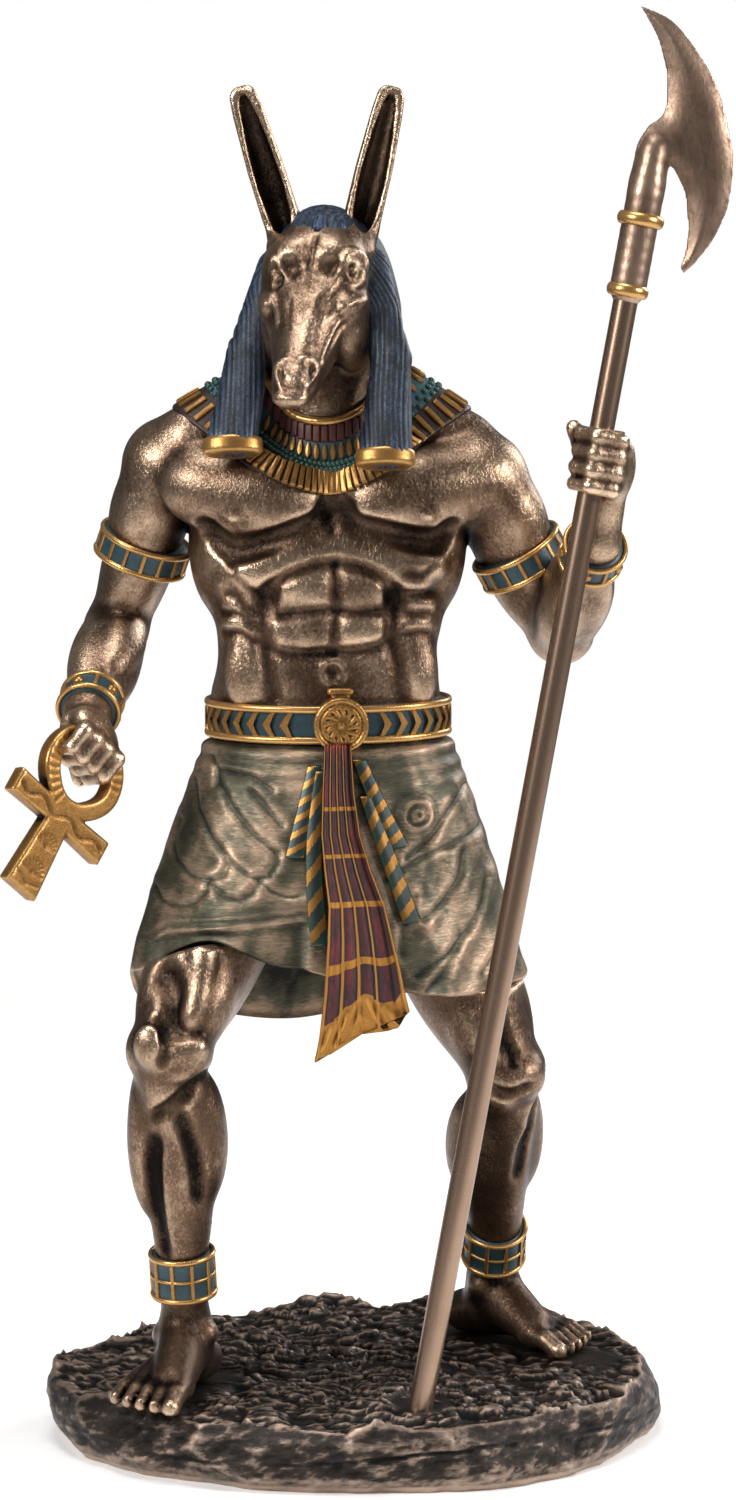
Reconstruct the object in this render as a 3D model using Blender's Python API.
"""Seth statue: a cold-cast bronze figure with an ankh and a halberd, standing on a rock plinth.

Every size and place is in millimetres, and MM turns it to metres. The origin is the middle of the
plinth's underside, +Z is up, and the figure faces -Y. "Right" and "left" are the figure's own.
"""

import math

import bmesh
import bpy
from mathutils import Matrix, Vector, noise
from mathutils.bvhtree import BVHTree

MM = 0.001

# Plinth
PLINTH_HALF_WIDTH = 62.5
PLINTH_HALF_DEPTH = 53.0
PLINTH_TOP = 13.5
PLINTH_RELIEF = 1.7
PLINTH_SIDE_RELIEF = 1.6
PLINTH_SECTORS = 44
PLINTH_RINGS = 9
FOOT_BED = (24.5, 12.5)
FOOT_BED_AHEAD = 7.0

# Fits between the pieces
GAP = 0.3
SHAFT_SOCKET_DEPTH = 5.0

# Halberd: a straight rod from the plinth through the left fist to the blade's socket
SHAFT_RADIUS = 2.4
SHAFT_FOOT = Vector((13.1, -35.3, PLINTH_TOP))
SHAFT_LEAN = Vector((42.4, 14.3, 231.5)).normalized()
SHAFT_LENGTH = 226.0
GRIP_HEIGHT = 187.6
SOCKET_RADIUS = 3.1
SOCKET_LENGTH = 29.0
SOCKET_WALL_OVER_SHAFT = 6.0
RING_RADIUS = 4.1
RING_THICKNESS = 2.6
UPPER_RING_SHARE = 0.47
BLADE_THICKNESS = 3.4
BLADE_SLOPE = 1.7

# Ankh, in its own frame: its stem runs down from the crossing and its loop stands above
ANKH_CROSSING = Vector((-57.2, -33.0, 130.1))
ANKH_UP = Vector((0.42, 0.47, 0.77)).normalized()
ANKH_ACROSS = Vector((0.60, 0.48, -0.64)).normalized()
ANKH_STEM = 17.0
ANKH_STEM_HALF_WIDTH = (3.0, 4.2)
ANKH_ARM = 13.1
ANKH_ARM_HALF_WIDTH = (2.2, 2.6)
ANKH_THICKNESS = 3.4
ANKH_LOOP_HALF_WIDTH = 8.2
ANKH_LOOP_HALF_HEIGHT = 7.7
ANKH_LOOP_RISE = 10.0
ANKH_LOOP_BAR = 3.8
ANKH_LOOP_SIDES = 24

# Figure: its joints
SOLE = PLINTH_TOP + GAP
HIP = {"right": Vector((-18.2, 0.0, 121.5)), "left": Vector((8.3, 2.0, 121.2))}
KNEE = {"right": Vector((-35.9, -28.0, 84.0)), "left": Vector((30.2, -7.0, 75.5))}
ANKLE = {"right": Vector((-33.2, -18.5, 27.0)), "left": Vector((28.4, 24.0, 26.0))}
TOE = {"right": Vector((-41.5, -42.0, SOLE)), "left": Vector((47.5, 6.5, SOLE))}
SHOULDER = {"right": Vector((-36.2, 3.0, 194.6)), "left": Vector((25.0, 3.0, 191.8))}
ELBOW = {"right": Vector((-47.6, 11.0, 161.5)), "left": Vector((41.6, 10.0, 161.2))}
WRIST = {"right": Vector((-52.0, -17.5, 148.0)), "left": Vector((47.4, -17.5, 181.8))}

# Figure: where the trunk, head and dress are
TRUNK_X = -5.0
TRUNK_TURN = math.radians(6)
HEAD_CENTRE = Vector((-5.8, -2.0, 232.5))
HEAD_TURN = math.radians(-13)
BELT_TOP = 149.3
BELT_HEIGHT = 7.6
BELT_HALF_WIDTH = 23.8
BELT_HALF_DEPTH = 16.4
BUCKLE_RADIUS = 5.4
KILT_WALL = 2.2
KILT_HOLLOW = 14.0
COLLAR_HEART = Vector((-5.6, 1.5, 190.0))
COLLAR_THICKNESS = 2.2
COLLAR_DEPTH = 4.0
COLLAR_LEAST_REACH = 12.0

# How finely the wax is worked and then faceted
VOXEL = 0.62
FIGURE_TRIANGLES = 7000

SIDES = {"right": -1, "left": 1}
UP = Vector((0, 0, 1))


def turned_about_up(angle):
    """Across, forward and up axes of something that faces -Y turned by angle towards +X."""
    across = Vector((math.cos(angle), math.sin(angle), 0))
    forward = Vector((math.sin(angle), -math.cos(angle), 0))
    return across, forward, UP


def at_right_angles(direction, axis):
    """Direction with its part along axis taken out, at length 1."""
    return (direction - axis * direction.dot(axis)).normalized()


class Clay:
    """Overlapping rounded solids that one voxel remesh joins, as wax is joined before casting."""

    def __init__(self):
        self.mesh = bmesh.new()

    def lump(self, centre, radii, axes=None):
        """An ellipsoid with its three radii along three axes."""
        across, forward, up = axes or (Vector((1, 0, 0)), Vector((0, -1, 0)), UP)
        turn = Matrix((across, forward, up)).transposed().to_4x4()
        size = Matrix.Diagonal((*radii, 1))
        place = Matrix.Translation(centre) @ turn @ size
        bmesh.ops.create_icosphere(self.mesh, subdivisions=3, radius=1, matrix=place)

    def bone(self, start, end, start_radius, end_radius):
        """A round-ended limb that tapers from start to end."""
        ball = bmesh.new()
        for centre, radius in ((start, start_radius), (end, end_radius)):
            place = Matrix.Translation(centre)
            bmesh.ops.create_icosphere(ball, subdivisions=2, radius=radius, matrix=place)
        hull = bmesh.ops.convex_hull(ball, input=ball.verts)
        spare = [v for v in hull["geom_interior"] if isinstance(v, bmesh.types.BMVert)]
        bmesh.ops.delete(ball, geom=spare, context="VERTS")
        self.take(ball)

    def take(self, other):
        """Adds another closed shape."""
        joined = bpy.data.meshes.new("joined")
        other.to_mesh(joined)
        other.free()
        self.mesh.from_mesh(joined)
        bpy.data.meshes.remove(joined)


def closed_rings(rings):
    """A closed shape through rings of as many points each, with a fan of faces at both ends."""
    shape = bmesh.new()
    loops = [[shape.verts.new(point) for point in ring] for ring in rings]
    for lower, upper in zip(loops, loops[1:]):
        for i in range(len(lower)):
            j = (i + 1) % len(lower)
            shape.faces.new((lower[i], lower[j], upper[j], upper[i]))
    for loop in (loops[0], loops[-1]):
        middle = shape.verts.new(sum((v.co for v in loop), Vector()) / len(loop))
        for i in range(len(loop)):
            shape.faces.new((loop[i], middle, loop[(i + 1) % len(loop)]))
    bmesh.ops.recalc_face_normals(shape, faces=shape.faces)
    return shape


def scaled_curve(points, share):
    """The value at share of a list of (share, value) pairs, on a smooth curve through them."""
    for (left, low), (right, high) in zip(points, points[1:]):
        if share <= right:
            part = max(0.0, (share - left) / (right - left))
            part = part * part * (3 - 2 * part)
            return low + (high - low) * part
    return points[-1][1]


def finish(name, shape, material, smooth=True):
    """Makes a named object of a shape in millimetres."""
    bmesh.ops.scale(shape, vec=(MM, MM, MM), verts=shape.verts)
    mesh = bpy.data.meshes.new(name)
    shape.to_mesh(mesh)
    shape.free()
    mesh.materials.append(material)
    if smooth:
        mesh.shade_smooth()
        mesh.set_sharp_from_angle(angle=math.radians(40))
    made = bpy.data.objects.new(name, mesh)
    bpy.context.collection.objects.link(made)
    return made


def as_cutter(made):
    made.hide_render = True
    made.display_type = "WIRE"
    return made


def cut(target, cutter, name):
    modifier = target.modifiers.new(name, "BOOLEAN")
    modifier.operation = "DIFFERENCE"
    modifier.object = as_cutter(cutter)


def material(name, colour, metallic, roughness):
    made = bpy.data.materials.new(name)
    made.use_nodes = True
    shader = made.node_tree.nodes["Principled BSDF"]
    shader.inputs["Base Color"].default_value = (*colour, 1)
    shader.inputs["Metallic"].default_value = metallic
    shader.inputs["Roughness"].default_value = roughness
    return made


def rod(start, direction, length, radius, sides=20):
    """A round rod with flat ends."""
    shape = bmesh.new()
    turn = direction.to_track_quat("Z", "Y").to_matrix().to_4x4()
    place = Matrix.Translation(start + direction * (length / 2)) @ turn
    bmesh.ops.create_cone(
        shape, cap_ends=True, segments=sides, radius1=radius, radius2=radius, depth=length, matrix=place
    )
    return shape


# The trunk is placed by (across, forward, height), with across and forward from its middle line.
def on_trunk(across, forward, height):
    side, front, up = turned_about_up(TRUNK_TURN)
    return Vector((TRUNK_X, 1.0, 0)) + side * across + front * forward + up * height


def trunk(clay):
    axes = turned_about_up(TRUNK_TURN)
    core = (
        # across, forward, height, and the three radii
        (0, 0, 131, 21.5, 15.0, 15.0),
        (0, 0, 147, 21.4, 13.2, 13.0),
        (0, 0, 160, 20.0, 12.8, 15.0),
        (0, 0, 176, 24.8, 15.0, 19.0),
        (0, -1.0, 192, 27.5, 13.2, 12.5),
    )
    for across, forward, height, *radii in core:
        clay.lump(on_trunk(across, forward, height), radii, axes)
    for side in SIDES.values():
        chest(clay, side, axes)
        belly(clay, side, axes)
        back(clay, side, axes)


def chest(clay, side, axes):
    clay.lump(on_trunk(side * 12.8, 9.0, 189.5), (13.4, 7.8, 9.6), axes)
    clay.lump(on_trunk(side * 20.0, 7.0, 191.0), (9.6, 7.0, 8.6), axes)
    clay.lump(on_trunk(side * 20.4, -1.0, 180.0), (7.4, 11.0, 15.0), axes)
    for height, across, forward in ((176.0, 20.4, 8.0), (171.0, 19.0, 8.2), (166.2, 17.4, 8.0)):
        clay.lump(on_trunk(side * across, forward, height), (5.2, 4.2, 3.6), axes)


def belly(clay, side, axes):
    for height, wide, tall, forward in (
        (178.6, 5.6, 4.0, 12.0), (171.4, 5.8, 5.2, 12.2), (163.2, 5.6, 4.8, 10.8), (154.0, 5.4, 7.0, 10.4)
    ):
        clay.lump(on_trunk(side * 5.1, forward, height), (wide, 3.0, tall), axes)
    clay.lump(on_trunk(side * 12.4, 10.0, 172.5), (4.6, 4.2, 6.4), axes)
    clay.lump(on_trunk(side * 12.6, 8.6, 160.0), (4.8, 4.0, 7.6), axes)
    clay.lump(on_trunk(side * 16.2, 4.0, 153.0), (5.2, 7.4, 6.6), axes)


def back(clay, side, axes):
    clay.lump(on_trunk(side * 13.5, -12.0, 189.0), (11.0, 5.6, 11.0), axes)
    clay.lump(on_trunk(side * 6.0, -11.2, 163.0), (5.2, 4.6, 24.0), axes)
    clay.bone(on_trunk(side * 3, -3.5, 211), on_trunk(side * 27, -2.0, 199.6 - side * 0.9), 8.2, 7.0)
    clay.lump(on_trunk(side * 9.5, -10.0, 134.0), (10.5, 9.0, 11.5), axes)


def limb_axes(start, end, forward):
    """Sideways, forward and lengthwise axes of a limb; sideways points to the figure's left."""
    along = (start - end).normalized()
    forward = at_right_angles(forward, along)
    return along.cross(forward), forward, along


def muscle(clay, start, end, axes, share, forward, outward, radii):
    """A lump beside a limb: share of the way down it, and so far forward and outward of it."""
    across, front, _ = axes
    centre = start.lerp(end, share) + front * forward + across * outward
    clay.lump(centre, radii, axes)


def leg(clay, name):
    side = SIDES[name]
    hip, knee, ankle = HIP[name], KNEE[name], ANKLE[name]
    forward = TOE[name] - ankle
    forward.z = 0
    thigh = limb_axes(hip, knee, forward)
    clay.bone(hip, knee, 13.6, 8.0)
    muscle(clay, hip, knee, thigh, 0.45, 3.4, 0.0, (9.6, 8.6, 23.0))
    muscle(clay, hip, knee, thigh, 0.80, 2.0, -side * 4.6, (5.2, 6.2, 9.6))
    muscle(clay, hip, knee, thigh, 0.62, 1.4, side * 5.6, (5.2, 6.6, 16.0))
    muscle(clay, hip, knee, thigh, 0.55, -4.6, 0.0, (8.6, 7.0, 20.0))
    shin = limb_axes(knee, ankle, forward)
    muscle(clay, knee, ankle, shin, -0.01, 4.6, 0.0, (5.0, 4.4, 5.6))
    muscle(clay, knee, ankle, shin, 0.0, 0.4, -side * 4.6, (4.6, 6.0, 6.0))
    muscle(clay, knee, ankle, shin, 0.0, 0.4, side * 4.4, (4.4, 5.8, 6.0))
    muscle(clay, knee, ankle, shin, 0.14, 4.4, 0.0, (3.2, 3.1, 5.4))
    clay.bone(knee.lerp(ankle, 0.12), ankle, 7.2, 4.8)
    clay.bone(knee.lerp(ankle, 0.1) + shin[1] * 1.6, ankle + shin[1] * 0.6, 5.4, 3.8)
    muscle(clay, knee, ankle, shin, 0.34, -3.2, -side * 3.8, (5.6, 6.6, 14.5))
    muscle(clay, knee, ankle, shin, 0.28, -2.6, side * 4.6, (5.6, 6.2, 13.5))
    muscle(clay, knee, ankle, shin, 0.36, 1.2, side * 5.0, (4.4, 5.2, 15.0))
    muscle(clay, knee, ankle, shin, 0.55, -1.6, 0.0, (6.4, 5.4, 14.0))
    clay.bone(knee.lerp(ankle, 0.55) - shin[1] * 2.6, ankle - shin[1] * 3.0, 4.4, 2.5)
    foot(clay, name)


def foot(clay, name):
    side = SIDES[name]
    ankle, toe = ANKLE[name], TOE[name]
    forward = (toe - Vector((ankle.x, ankle.y, SOLE))).normalized()
    across = UP.cross(forward)
    axes = (across, forward, UP)

    def at(ahead, outward, height):
        return Vector((ankle.x, ankle.y, SOLE)) + forward * ahead + across * outward * side + UP * height

    clay.bone(ankle, at(-1.2, 0, 6.0), 5.2, 5.8)
    clay.lump(at(-6.4, 0, 4.0), (5.2, 5.6, 5.0), axes)
    clay.lump(at(0.6, 4.6, 10.0), (2.2, 2.8, 2.8), axes)
    clay.lump(at(0.9, -4.8, 11.2), (2.2, 2.8, 2.8), axes)
    clay.bone(at(1.0, 0, 10.8), at(13.5, -1.6, 5.2), 5.4, 3.8)
    clay.bone(at(-2.0, 1.6, 4.4), at(13.0, 3.6, 3.0), 4.8, 3.0)
    clay.bone(at(4.0, -1.5, 7.4), at(15.5, -4.2, 3.6), 4.4, 3.2)
    reach = (0.0, 0.2, -0.7, -2.0, -3.7)
    for number, shorter in enumerate(reach):
        outward = -4.8 + 2.7 * number
        radius = 1.9 if number == 0 else 1.4
        root = at(14.0 + shorter * 0.6, outward, 3.4)
        bend = at(19.4 + shorter, outward * 1.12, 2.9)
        tip = at(23.0 + shorter, outward * 1.16, 1.3)
        clay.bone(root, bend, radius + 0.6, radius + 0.2)
        clay.bone(bend, tip, radius + 0.2, radius)


def arm(clay, name):
    side = SIDES[name]
    shoulder, elbow, wrist = SHOULDER[name], ELBOW[name], WRIST[name]
    inner = (wrist - elbow).normalized()
    upper = limb_axes(shoulder, elbow, inner)
    clay.lump(shoulder + Vector((side * 0.2, 0, 0.6)), (9.7, 10.0, 9.8))
    muscle(clay, shoulder, elbow, upper, 0.22, 0.0, side * 1.2, (8.0, 9.2, 13.0))
    clay.bone(shoulder, elbow, 7.9, 6.2)
    muscle(clay, shoulder, elbow, upper, 0.60, 2.6, 0.0, (6.4, 6.4, 14.5))
    muscle(clay, shoulder, elbow, upper, 0.52, -2.8, 0.0, (7.2, 6.2, 17.0))
    muscle(clay, shoulder, elbow, upper, 1.0, -2.2, 0.0, (5.0, 4.4, 5.4))
    fore = limb_axes(elbow, wrist, UP)
    clay.bone(elbow, wrist, 6.8, 4.8)
    muscle(clay, elbow, wrist, fore, 0.32, 1.6, 2.2, (6.2, 6.0, 12.5))
    muscle(clay, elbow, wrist, fore, 0.30, -1.8, -1.8, (6.0, 5.8, 12.0))


def fist(clay, grip, thumbward, wrist, side, bar):
    """A closed fist about a bar. thumbward runs along the bar, and side is the hand it is."""
    along = thumbward.normalized()
    to_wrist = at_right_angles(wrist - grip, along)
    knuckles = to_wrist.cross(along) * side
    axes = (knuckles, to_wrist, along)
    thick = 1.7
    away = bar + thick

    def at(out, towards_wrist, up_bar):
        return grip + knuckles * out + to_wrist * towards_wrist + along * up_bar

    clay.lump(at(away + 0.4, 2.0, -0.4), (2.9, 4.6, 5.9), axes)
    clay.lump(at(1.0, away + 0.6, -0.8), (4.0, 2.6, 5.4), axes)
    clay.bone(wrist, at(2.0, away, -0.6), 4.6, 3.8)
    for number in range(4):
        up_bar = 4.9 - 3.2 * number
        size = thick - (0.25 if number == 3 else 0.0)
        knuckle = at(away + 0.9, -1.6, up_bar)
        middle = at(away * 0.35, -away - 0.5, up_bar)
        last = at(-away * 0.72, -away * 0.62, up_bar)
        tip = at(-away - 0.1, 0.9, up_bar)
        clay.bone(knuckle, middle, size + 0.15, size + 0.1)
        clay.bone(middle, last, size + 0.1, size)
        clay.bone(last, tip, size, size - 0.15)
    clay.bone(at(-1.6, away + 0.4, -1.6), at(-away - 0.5, 2.8, 2.8), 2.4, 2.0)
    clay.bone(at(-away - 0.5, 2.8, 2.8), at(-away - 0.9, 1.0, 5.4), 2.0, 1.8)


# The head is placed by (across, forward, height) from the middle of the skull.
def on_head(across, forward, height):
    side, front, up = turned_about_up(HEAD_TURN)
    return HEAD_CENTRE + side * across + front * forward + up * height


def head(clay):
    axes = turned_about_up(HEAD_TURN)
    clay.bone(on_trunk(0, 1.0, 200), on_head(0, -1.0, -4.0), 10.6, 9.4)
    clay.lump(on_head(0, 0.5, 0.5), (9.4, 10.6, 10.2), axes)
    muzzle_top = on_head(0, 8.6, 4.4)
    muzzle_end = on_head(0, 29.6, -17.6)
    long_way = (muzzle_end - muzzle_top).normalized()
    across, _, _ = axes
    over = across.cross(long_way).normalized()
    if over.z < 0:
        over = -over
    face = (across, over, long_way)
    clay.lump(on_head(0, 9.6, 1.6), (7.2, 7.6, 8.0), axes)
    clay.bone(muzzle_top - over * 4.2, muzzle_end - over * 3.6, 7.8, 4.5)
    clay.bone(muzzle_top - over * 0.6, muzzle_end - over * 2.4, 3.6, 2.8)
    clay.bone(on_head(0, 5.0, -8.5), on_head(0, 24.0, -19.6), 7.4, 3.6)
    clay.lump(muzzle_end - over * 2.8 - long_way * 1.6, (4.9, 3.9, 4.2), face)
    clay.lump(muzzle_end - over * 6.4 - long_way * 0.6, (3.9, 2.8, 3.2), face)
    for name, side in SIDES.items():
        clay.lump(on_head(side * 6.4, 5.4, -8.6), (4.4, 8.4, 8.6), axes)
        clay.bone(on_head(side * 7.6, 4.6, 5.6), on_head(side * 5.4, 11.6, 6.4), 2.7, 2.2)
        clay.bone(on_head(side * 8.6, 6.4, -2.4), on_head(side * 6.0, 18.0, -8.6), 2.0, 1.3)
        clay.lump(on_head(side * 8.4, 9.6, 1.8), (2.0, 2.6, 2.5), axes)
        clay.lump(muzzle_end - over * 1.4 - long_way * 0.8 + across * side * 3.2, (1.9, 2.0, 2.5), face)
        ear(clay, name)


EAR_ROOT = {"right": Vector((-12.0, -2.0, 238.0)), "left": Vector((0.2, -2.5, 238.0))}
EAR_TIP = {"right": Vector((-22.0, -2.5, 269.6)), "left": Vector((7.7, -1.5, 269.6))}
EAR_HALF_WIDTH = ((0.0, 3.0), (0.25, 3.5), (0.6, 3.6), (0.92, 3.4), (1.0, 2.6))


def ear(clay, name):
    """A tall square-ended ear, as a shell that is hollow to the front."""
    root, tip = EAR_ROOT[name], EAR_TIP[name]
    along = (tip - root).normalized()
    facing = at_right_angles(Vector((SIDES[name] * 0.15, -1, 0)), along)
    across = along.cross(facing)
    rings = []
    for step in range(15):
        share = step / 14
        half = scaled_curve(EAR_HALF_WIDTH, share)
        hollow = 1.7 * math.sin(math.pi * min(1.0, share * 1.12 + 0.02)) if share < 0.9 else 0.3
        centre = root.lerp(tip, share)
        ring = []
        for turn in range(24):
            angle = 2 * math.pi * turn / 24
            out, ahead = math.cos(angle), math.sin(angle)
            depth = 1.6 * ahead if ahead < 0 else 1.2 * ahead - hollow * ahead * (1 - out * out)
            ring.append(centre + across * half * out + facing * (depth + 1.1 * out * out))
        rings.append(ring)
    clay.take(closed_rings(rings))


def wig(clay):
    axes = turned_about_up(HEAD_TURN * 0.6)
    clay.lump(on_head(0, -2.4, 1.0), (12.6, 13.0, 12.2), axes)
    clay.lump(on_head(0, -5.0, -8.0), (14.4, 12.0, 16.0), axes)
    clay.lump(on_trunk(0, -9.5, 207), (17.0, 8.0, 20.0), axes)
    for side, foot_of_lock in ((-1, Vector((-23.3, -17.8, 201.2))), (1, Vector((6.3, -19.2, 199.0)))):
        crown = on_head(side * 8.0, 0.5, 2.5)
        middle = crown.lerp(foot_of_lock, 0.5) + Vector((side * (2.6 + 1.4 * side), 0.6, 0))
        for start, end, first, last in ((crown, middle, 3.4, 4.2), (middle, foot_of_lock, 4.2, 3.8)):
            for inward in (-1.3, 1.3):
                aside = Vector((inward, 0, 0))
                clay.bone(start + aside, end + aside, first, last)
        clay.lump(foot_of_lock + Vector((0, -1.2, -1.0)), (5.4, 3.6, 3.0))


def collar_direction(angle, share):
    """From the collar's heart towards a place on it: round the neck, and out from the neck."""
    sideways = math.cos(angle) ** 2
    front = max(0.0, -math.sin(angle)) ** 2
    rear = max(0.0, math.sin(angle)) ** 2
    inner = 64 * sideways + 50 * front + 68 * rear
    outer = 29 * sideways + 5 * front + 12 * rear
    slope = math.radians(inner + (outer - inner) * share)
    return Vector((math.cos(angle) * math.cos(slope), math.sin(angle) * math.cos(slope), math.sin(slope)))


def collar(clay):
    """The broad collar, laid over the neck, chest and shoulders that are already in the clay."""
    body = BVHTree.FromBMesh(clay.mesh)
    around, steps = 60, 8
    reach = []
    for step in range(steps + 1):
        row = []
        for i in range(around):
            toward = collar_direction(2 * math.pi * i / around, step / steps)
            outside = COLLAR_HEART + toward * 80
            hit = body.ray_cast(outside, -toward)[0]
            row.append((hit - COLLAR_HEART).length if hit else COLLAR_LEAST_REACH)
        reach.append(row)
    for _ in range(3):
        reach = [
            [(row[i - 1] + 2 * row[i] + row[(i + 1) % around]) / 4 for i in range(around)] for row in reach
        ]

    def ring(step, lift):
        towards = [collar_direction(2 * math.pi * i / around, step / steps) for i in range(around)]
        return [COLLAR_HEART + toward * (reach[step][i] + lift) for i, toward in enumerate(towards)]

    rings = [ring(step, COLLAR_THICKNESS) for step in range(steps + 1)]
    rings += [ring(step, -COLLAR_DEPTH) for step in reversed(range(steps + 1))]
    clay.take(closed_rings(rings))


def oval(centre, half_width, half_depth, turn, points=48):
    """Points round an oval at a height, from its right-hand end and anticlockwise from above."""
    ring = []
    for i in range(points):
        angle = 2 * math.pi * i / points
        x, y = half_width * math.cos(angle), half_depth * math.sin(angle)
        ring.append(
            centre
            + Vector((x * math.cos(turn) - y * math.sin(turn), x * math.sin(turn) + y * math.cos(turn), 0))
        )
    return ring


# Kilt sections from belt to hem: height, middle, half width, half depth and turn in degrees
KILT_SECTIONS = (
    (146.0, (-5.0, 0.8), 22.8, 15.8, 6),
    (135.0, (-5.0, 0.4), 26.8, 18.8, 8),
    (124.4, (-5.0, -0.4), 30.8, 21.0, 12),
    (113.4, (-4.8, -1.8), 35.0, 22.2, 15),
    (103.0, (-4.9, -3.6), 38.6, 22.8, 17),
    (92.0, (-4.8, -5.0), 41.4, 23.4, 18),
    (80.0, (-4.4, -6.0), 42.4, 24.0, 19),
)
# Hem height at turns round the kilt, in degrees from the figure's left towards its back
HEM = (
    (0, 94), (45, 87), (90, 81.5), (135, 86), (180, 97), (222, 104), (250, 99), (275, 94.5), (300, 92),
    (360, 94),
)


def kilt_point(angle, height, inset=0.0):
    """A point on the kilt's outside, or that far inside it, at an angle round it from above."""
    level = min(max(height, KILT_SECTIONS[-1][0]), KILT_SECTIONS[0][0])
    for upper, lower in zip(KILT_SECTIONS, KILT_SECTIONS[1:]):
        if level >= lower[0]:
            part = (upper[0] - level) / (upper[0] - lower[0])
            break
    middle = Vector(upper[1]).lerp(Vector(lower[1]), part)
    half_width = upper[2] + (lower[2] - upper[2]) * part - inset
    half_depth = upper[3] + (lower[3] - upper[3]) * part - inset
    turn = math.radians(upper[4] + (lower[4] - upper[4]) * part)
    folds = 0.5 * math.sin(7 * angle + height * 0.05) * min(1.0, (KILT_SECTIONS[0][0] - level) / 30)
    x = (half_width + folds) * math.cos(angle)
    y = (half_depth + folds) * math.sin(angle)
    across = middle.x + x * math.cos(turn) - y * math.sin(turn)
    behind = middle.y + x * math.sin(turn) + y * math.cos(turn)
    return Vector((across, behind, height))


def hem_height(angle):
    """The hem dips at the back and rises over the right thigh, where the kilt wraps over."""
    return scaled_curve(HEM, math.degrees(angle) % 360)


def kilt_front(x, height):
    """How far forward the kilt's front is at a place across it."""
    low, high = math.radians(195), math.radians(345)
    for _ in range(24):
        middle = (low + high) / 2
        if kilt_point(middle, height).x < x:
            low = middle
        else:
            high = middle
    return -kilt_point(middle, height).y


def kilt(clay):
    """A skirt with a true wall at the hem, closed above its hollow."""
    count = 64
    angles = [2 * math.pi * i / count for i in range(count)]
    top = KILT_SECTIONS[0][0]
    rings = []
    for step in range(13):
        share = step / 12
        rings.append([kilt_point(a, top + (hem_height(a) - top) * share) for a in angles])
    for step in range(6):
        share = step / 5
        inset = KILT_WALL + share * 3
        rings.append([kilt_point(a, hem_height(a) + KILT_HOLLOW * share, inset) for a in angles])
    clay.take(closed_rings(rings))


# Belt profile: share of the way down it, and how far it stands out from its oval
BELT_PROFILE = (
    (0.0, -0.8), (0.05, 0.3), (0.21, 0.3), (0.26, -0.2), (0.74, 0.1), (0.79, 0.8), (0.95, 0.8), (1.0, -0.4),
)


def belt(clay):
    rings = []
    middle = Vector((TRUNK_X, 1.0, 0))
    for down, grow in BELT_PROFILE:
        level = middle + UP * (BELT_TOP - down * BELT_HEIGHT)
        rings.append(oval(level, BELT_HALF_WIDTH + grow, BELT_HALF_DEPTH + grow, TRUNK_TURN))
    clay.take(closed_rings(rings))
    front = turned_about_up(TRUNK_TURN)[1]
    buckle = on_trunk(0.8, BELT_HALF_DEPTH - 1.5, BELT_TOP - BELT_HEIGHT / 2 + 0.2)
    clay.take(rod(buckle, front, 3.6, BUCKLE_RADIUS, 32))


# Sash: height, its left and right edges across the front, and how far it stands off the kilt
SASH = (
    (142.0, -5.6, -0.4, 1.4),
    (133.0, -6.0, 0.2, 1.8),
    (125.0, -6.2, 1.4, 2.0),
    (118.0, -5.6, 3.6, 2.2),
    (111.5, -4.8, 6.2, 2.6),
    (105.0, -5.0, 7.8, 2.8),
    (99.7, -5.6, 9.2, 3.2),
    (95.0, -6.6, 10.2, 3.6),
    (91.8, -7.5, 11.0, 3.8),
)
SASH_END = ((0.0, -9.8), (0.16, -8.4), (0.32, -5.5), (0.54, -2.6), (0.75, -4.5), (0.86, -4.0), (1.0, -0.8))


def hanging_strip(clay, rows, end, thickness):
    """A strip of cloth hanging in front of the kilt, with its end cut to a shape."""
    columns = 9
    shares = [i / (columns - 1) for i in range(columns)]
    rings = []
    for height, left, right, lift in rows:
        face = []
        for share in shares:
            x = left + (right - left) * share
            drop = scaled_curve(end, share) if height == rows[-1][0] else 0.0
            ripple = 0.5 * math.sin(3 * math.pi * share)
            face.append(Vector((x, -kilt_front(x, max(height, 93.0)) - lift - ripple, height + drop)))
        rear = [point + Vector((0, thickness + lift * 0.5, 0)) for point in face]
        rings.append(face + rear[::-1])
    clay.take(closed_rings(rings))


# The four striped ends beside the sash: their middle at the top, halfway and at the foot
SIDE_ENDS = (
    ((-7.6, 138.0), (-9.6, 129.0), (-11.4, 120.6)),
    ((-6.8, 137.0), (-8.8, 118.0), (-6.2, 103.8)),
    ((1.2, 139.0), (5.0, 130.0), (9.2, 122.0)),
    ((2.6, 132.0), (7.4, 119.0), (11.6, 107.4)),
)
SIDE_END_HALF_WIDTH = 1.9


def side_ends(clay):
    for top, middle, foot_of_end in SIDE_ENDS:
        rows = []
        for step in range(7):
            share = step / 6
            x = (1 - share) ** 2 * top[0] + 2 * share * (1 - share) * middle[0] + share**2 * foot_of_end[0]
            z = (1 - share) ** 2 * top[1] + 2 * share * (1 - share) * middle[1] + share**2 * foot_of_end[1]
            half = SIDE_END_HALF_WIDTH * (0.7 + 0.3 * share)
            rows.append((z, x - half, x + half, 1.0))
        hanging_strip(clay, rows, ((0.0, 0.0), (1.0, 0.0)), 2.6)


def bands(clay):
    """Armbands, bracelets and anklets: start and end of the limb, shares along it, and radius."""
    rows = []
    for name in SIDES:
        rows.append((SHOULDER[name], ELBOW[name], 0.42, 0.58, 9.5))
        rows.append((ELBOW[name], WRIST[name], 0.80, 0.98, 6.4))
        rows.append((KNEE[name], ANKLE[name], 0.74, 0.90, 6.6))
    for start, end, first, last, radius in rows:
        upper, lower = start.lerp(end, first), start.lerp(end, last)
        clay.take(rod(upper, (lower - upper).normalized(), (lower - upper).length, radius, 28))


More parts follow.
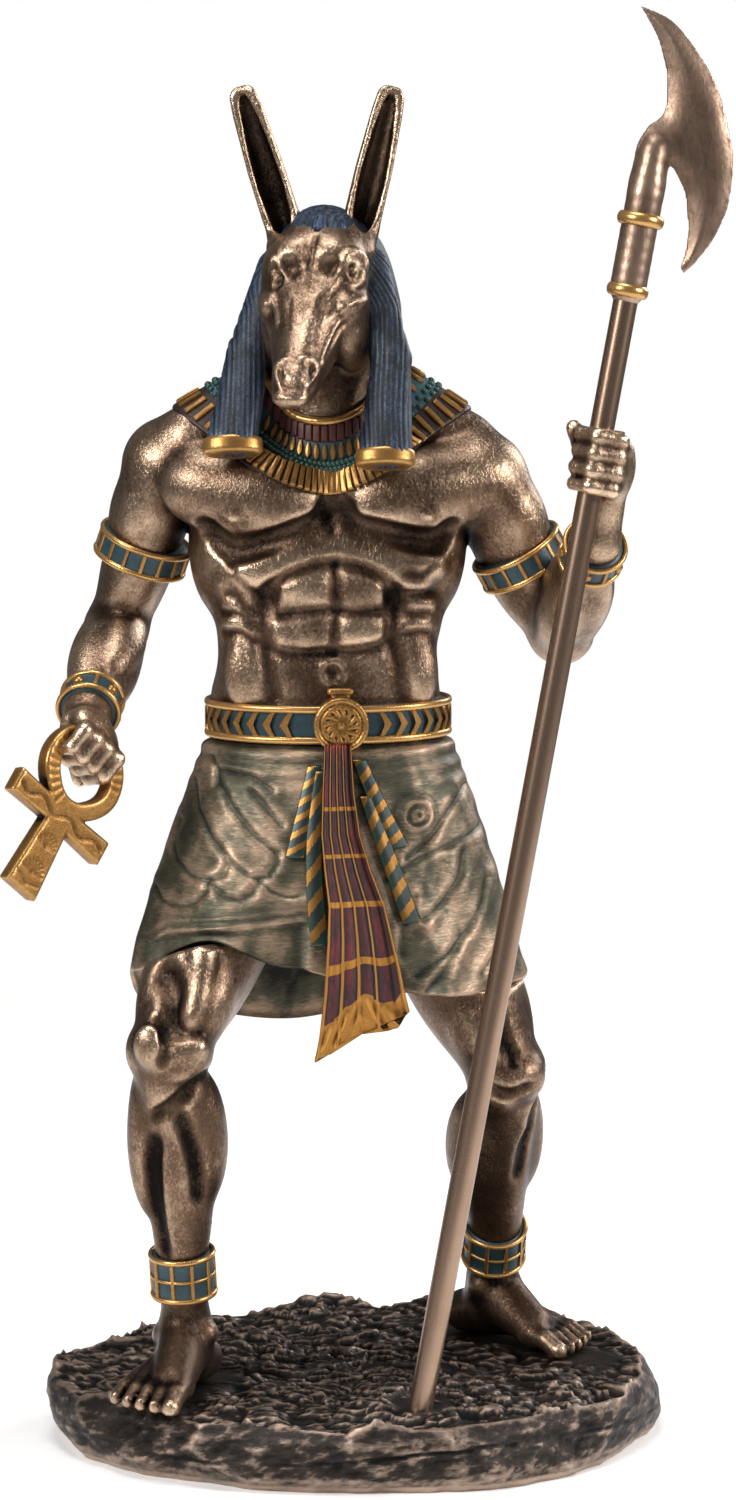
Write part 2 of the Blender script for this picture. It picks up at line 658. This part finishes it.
def ankh_place(x, z, y):
    """A place on the ankh: across it, up it and out of its plane."""
    up = at_right_angles(ANKH_UP, ANKH_ACROSS)
    return ANKH_CROSSING + ANKH_ACROSS * x + up * z + ANKH_ACROSS.cross(up) * y


def ankh_loop(grow=0.0):
    """The ankh's loop, made bigger all round by grow for the cut that clears it."""
    half_thick = ANKH_THICKNESS / 2 + grow
    half_bar = ANKH_LOOP_BAR / 2 + grow
    shape = bmesh.new()
    sections = []
    for i in range(ANKH_LOOP_SIDES):
        angle = 2 * math.pi * i / ANKH_LOOP_SIDES
        pinch = 1 - 0.2 * max(0.0, -math.sin(angle)) ** 2
        x = ANKH_LOOP_HALF_WIDTH * math.cos(angle) * pinch
        z = ANKH_LOOP_HALF_HEIGHT * math.sin(angle) + ANKH_LOOP_RISE
        out = Vector((math.cos(angle) / ANKH_LOOP_HALF_WIDTH, math.sin(angle) / ANKH_LOOP_HALF_HEIGHT))
        out = out.normalized() * half_bar
        outer, inner = Vector((x, z)) + out, Vector((x, z)) - out
        corners = ((*outer, half_thick), (*outer, -half_thick), (*inner, -half_thick), (*inner, half_thick))
        sections.append([shape.verts.new(ankh_place(*corner)) for corner in corners])
    for i, ring in enumerate(sections):
        following = sections[(i + 1) % len(sections)]
        for j in range(4):
            k = (j + 1) % 4
            shape.faces.new((ring[j], ring[k], following[k], following[j]))
    bmesh.ops.recalc_face_normals(shape, faces=shape.faces)
    return shape


def ankh_cross(grow=0.0):
    """The ankh's crossbar and stem as one flat cross that widens to its three ends."""
    arm_root, arm_end = (width + grow for width in ANKH_ARM_HALF_WIDTH)
    stem_root, stem_end = (width + grow for width in ANKH_STEM_HALF_WIDTH)
    arm, stem = ANKH_ARM + grow, ANKH_STEM + grow
    half_thick = ANKH_THICKNESS / 2 + grow
    right_half = (
        (stem_end, -stem), (stem_root, -arm_root), (arm, -arm_end), (arm, arm_end), (stem_root, arm_root),
    )
    left_half = [(-x, z) for x, z in reversed(right_half)]
    shape = bmesh.new()
    outline = [shape.verts.new(ankh_place(x, z, -half_thick)) for x, z in (*right_half, *left_half)]
    face = shape.faces.new(outline)
    pulled = bmesh.ops.extrude_face_region(shape, geom=[face])
    depth = ankh_place(0, 0, half_thick) - ankh_place(0, 0, -half_thick)
    moved = [v for v in pulled["geom"] if isinstance(v, bmesh.types.BMVert)]
    bmesh.ops.translate(shape, vec=depth, verts=moved)
    bmesh.ops.recalc_face_normals(shape, faces=shape.faces)
    return shape


def make_ankh(gold):
    made = finish("ankh", ankh_cross(), gold, smooth=False)
    join = made.modifiers.new("loop", "BOOLEAN")
    join.operation = "UNION"
    join.object = as_cutter(finish("ankh_loop_to_join", ankh_loop(), gold, smooth=False))
    edge = made.modifiers.new("worn edges", "BEVEL")
    edge.width = 0.45 * MM
    edge.segments = 1
    edge.limit_method = "ANGLE"
    edge.angle_limit = math.radians(40)
    return made


def make_figure(bronze, gold):
    clay = Clay()
    trunk(clay)
    for name in SIDES:
        leg(clay, name)
        arm(clay, name)
    grip = SHAFT_FOOT + SHAFT_LEAN * GRIP_HEIGHT
    fist(clay, grip, SHAFT_LEAN, WRIST["left"], 1, SHAFT_RADIUS)
    held = ankh_place(-2.4, ANKH_LOOP_RISE + ANKH_LOOP_HALF_HEIGHT - 3.0, 0)
    fist(clay, held, ANKH_ACROSS, WRIST["right"], -1, ANKH_LOOP_BAR / 2)
    collar(clay)
    head(clay)
    wig(clay)
    kilt(clay)
    belt(clay)
    hanging_strip(clay, SASH, SASH_END, 4.0)
    side_ends(clay)
    bands(clay)
    made = finish("figure", clay.mesh, bronze)
    joined = made.modifiers.new("one casting", "REMESH")
    joined.mode = "VOXEL"
    joined.voxel_size = VOXEL * MM
    joined.use_smooth_shade = True
    soft = made.modifiers.new("worked smooth", "SMOOTH")
    soft.factor = 0.5
    soft.iterations = 3
    facets = made.modifiers.new("facets", "DECIMATE")
    facets.ratio = 1.0
    ground = bmesh.new()
    below_soles = Matrix.Translation((0, 0, SOLE - 10)) @ Matrix.Diagonal((150, 150, 20, 1))
    bmesh.ops.create_cube(ground, size=1, matrix=below_soles)
    cut(made, finish("ground_cut", ground, bronze, smooth=False), "flat soles")
    tunnel = rod(SHAFT_FOOT, SHAFT_LEAN, SHAFT_LENGTH, SHAFT_RADIUS + GAP, 16)
    cut(made, finish("shaft_clearance", tunnel, bronze, smooth=False), "hole for the shaft")
    cut(made, finish("loop_clearance", ankh_loop(GAP), gold, smooth=False), "room for the loop")
    cut(made, finish("cross_clearance", ankh_cross(GAP), gold, smooth=False), "room for the cross")
    graph = bpy.context.evaluated_depsgraph_get()
    facets.show_viewport = False
    for modifier in made.modifiers:
        if modifier.type == "BOOLEAN":
            modifier.show_viewport = False
    graph.update()
    waxed = made.evaluated_get(graph).to_mesh()
    waxed.calc_loop_triangles()
    facets.ratio = FIGURE_TRIANGLES / len(waxed.loop_triangles)
    made.evaluated_get(graph).to_mesh_clear()
    for modifier in made.modifiers:
        modifier.show_viewport = True
    return made


def plinth_height(x, y):
    """The plinth's rough top, level where a foot or the shaft stands."""
    rough = noise.fractal(Vector((x * 0.05, y * 0.05, 3.0)), 0.7, 2.1, 4)
    ridged = abs(noise.noise(Vector((x * 0.09, y * 0.13, 9.0))))
    height = PLINTH_RELIEF * (1.2 * rough + 1.1 * ridged - 0.2)
    back_rise = 4.0 * max(0.0, y / PLINTH_HALF_DEPTH - 0.5 + 0.2 * x / PLINTH_HALF_WIDTH)
    level = 0.0
    for name in SIDES:
        for share in (-0.35, 0.1, 0.55, 1.0):
            spot = Vector((ANKLE[name].x, ANKLE[name].y)).lerp(Vector((TOE[name].x, TOE[name].y)), share)
            level = max(level, math.exp(-(((Vector((x, y)) - spot).length / 8.5) ** 4)))
    shaft_spot = (Vector((x, y)) - SHAFT_FOOT.xy).length
    level = max(level, math.exp(-((shaft_spot / 6.0) ** 4)))
    return PLINTH_TOP + (height + back_rise) * (1 - level) + 0.4 * level


def plinth_reach(angle, height):
    """How far the plinth's broken side reaches at an angle and height."""
    oval_reach = 1 / math.hypot(math.cos(angle) / PLINTH_HALF_WIDTH, math.sin(angle) / PLINTH_HALF_DEPTH)
    where = Vector((math.cos(angle) * 2.2, math.sin(angle) * 2.2, height * 0.06))
    broken = noise.fractal(where, 0.8, 2.0, 3)
    undercut = 2.4 * (1 - min(1.0, height / 5.0)) ** 2
    return oval_reach - 0.4 + PLINTH_SIDE_RELIEF * broken - undercut


def make_plinth(rock):
    rings = []
    sectors = [2 * math.pi * i / PLINTH_SECTORS for i in range(PLINTH_SECTORS)]
    for height in (0.0, 3.4, 7.2, 10.8):
        rings.append(
            [Vector((math.cos(a), math.sin(a), 0)) * plinth_reach(a, height) + UP * height for a in sectors]
        )
    for step in range(PLINTH_RINGS):
        share = 0.975 * (1 - step / PLINTH_RINGS)
        ring = []
        for a in sectors:
            flat = Vector((math.cos(a), math.sin(a), 0)) * plinth_reach(a, PLINTH_TOP) * share
            ring.append(flat + UP * plinth_height(flat.x, flat.y))
        rings.append(ring)
    made = finish("plinth", closed_rings(rings), rock)
    for name in SIDES:
        ankle, ahead = ANKLE[name].xy, (TOE[name].xy - ANKLE[name].xy).normalized()
        middle = (ankle + ahead * FOOT_BED_AHEAD).to_3d() + UP * PLINTH_TOP
        turn = math.atan2(ahead.y, ahead.x)
        walls = [oval(middle + UP * rise, *FOOT_BED, turn, points=24) for rise in (0, 8)]
        bed = finish(f"bed_{name}", closed_rings(walls), rock, smooth=False)
        cut(made, bed, f"level bed under the {name} foot")
    bottom = SHAFT_FOOT - SHAFT_LEAN * (SHAFT_SOCKET_DEPTH + GAP)
    hole = rod(bottom, SHAFT_LEAN, SHAFT_SOCKET_DEPTH + 12, SHAFT_RADIUS + GAP)
    cut(made, finish("shaft_socket", hole, rock, smooth=False), "socket for the shaft")
    return made


def make_shaft(steel):
    foot = SHAFT_FOOT - SHAFT_LEAN * SHAFT_SOCKET_DEPTH
    shape = rod(foot, SHAFT_LEAN, SHAFT_LENGTH + SHAFT_SOCKET_DEPTH, SHAFT_RADIUS)
    return finish("staff_shaft", shape, steel)


# Blade outline in the plane of the halberd: out from the shaft's axis, and up from the socket's foot
BLADE_OUTER = (
    (-7.8, 55.6), (-1.2, 53.8), (5.3, 48.5), (10.5, 41.8), (14.2, 33.7),
    (15.6, 29.0), (16.1, 21.0), (14.7, 14.7), (12.2, 9.4), (10.0, 6.6),
)
BLADE_INNER = (
    (9.2, 7.5), (9.6, 12.7), (8.5, 18.4), (6.9, 22.7), (3.6, 26.2), (2.6, 21.0), (-2.6, 21.0),
    (-3.3, 26.2), (-3.2, 29.6), (-1.9, 33.0), (0.5, 35.7), (0.6, 39.5), (-0.6, 44.7), (-3.6, 50.7),
)


def make_halberd_head(steel):
    base = SHAFT_FOOT + SHAFT_LEAN * (SHAFT_LENGTH - SOCKET_WALL_OVER_SHAFT)
    out = at_right_angles(Vector((1, 0, 0)), SHAFT_LEAN)
    side = out.cross(SHAFT_LEAN)

    def place(x, z, y=0.0):
        return base + out * x + SHAFT_LEAN * z + side * y

    profile = (
        (0.0, SOCKET_RADIUS), (RING_THICKNESS * 0.1, RING_RADIUS - 0.6), (RING_THICKNESS * 0.5, RING_RADIUS),
        (RING_THICKNESS * 0.9, RING_RADIUS - 0.6), (RING_THICKNESS, SOCKET_RADIUS),
    )
    second = SOCKET_LENGTH * UPPER_RING_SHARE
    steps = [*profile]
    steps += [(second + z, radius + 0.5) for z, radius in profile]
    steps += [(SOCKET_LENGTH * 0.82, SOCKET_RADIUS + 0.3), (SOCKET_LENGTH * 0.94, SOCKET_RADIUS - 0.5)]
    steps += [(SOCKET_LENGTH, SOCKET_RADIUS * 0.5)]
    angles = [2 * math.pi * i / 20 for i in range(20)]
    rings = []
    for z, radius in steps:
        rings.append([place(radius * math.cos(a), z, radius * math.sin(a)) for a in angles])
    made = finish("halberd_head", closed_rings(rings), steel)
    # The blade is flat at its middle and slopes to a thin edge all round
    blade = bmesh.new()
    edge_loop = [blade.verts.new(place(x, z)) for x, z in (*BLADE_OUTER, *BLADE_INNER)]
    for sign in (-1, 1):
        face = blade.faces.new(edge_loop if sign < 0 else edge_loop[::-1])
        bmesh.ops.inset_individual(blade, faces=[face], thickness=BLADE_SLOPE, depth=0)
        for vertex in face.verts:
            vertex.co += side * sign * BLADE_THICKNESS / 2
    bmesh.ops.recalc_face_normals(blade, faces=blade.faces)
    blade_object = as_cutter(finish("blade_to_join", blade, steel))
    join = made.modifiers.new("blade", "BOOLEAN")
    join.operation = "UNION"
    join.object = blade_object
    hole = rod(base - SHAFT_LEAN * 1.0, SHAFT_LEAN, SOCKET_WALL_OVER_SHAFT + 1.0 + GAP, SHAFT_RADIUS + GAP)
    cut(made, finish("socket_bore", hole, steel, smooth=False), "bore for the shaft")
    return made


def main():
    for existing in list(bpy.data.objects):
        bpy.data.objects.remove(existing)
    bronze = material("cold_cast_bronze", (0.32, 0.21, 0.15), 0.85, 0.38)
    rock = material("dark_bronze_rock", (0.10, 0.075, 0.06), 0.7, 0.5)
    gold = material("antique_gold", (0.66, 0.42, 0.12), 0.9, 0.35)
    steel = material("brushed_bronze_steel", (0.40, 0.31, 0.25), 0.95, 0.3)
    make_plinth(rock)
    make_figure(bronze, gold)
    make_ankh(gold)
    make_shaft(steel)
    make_halberd_head(steel)


main()
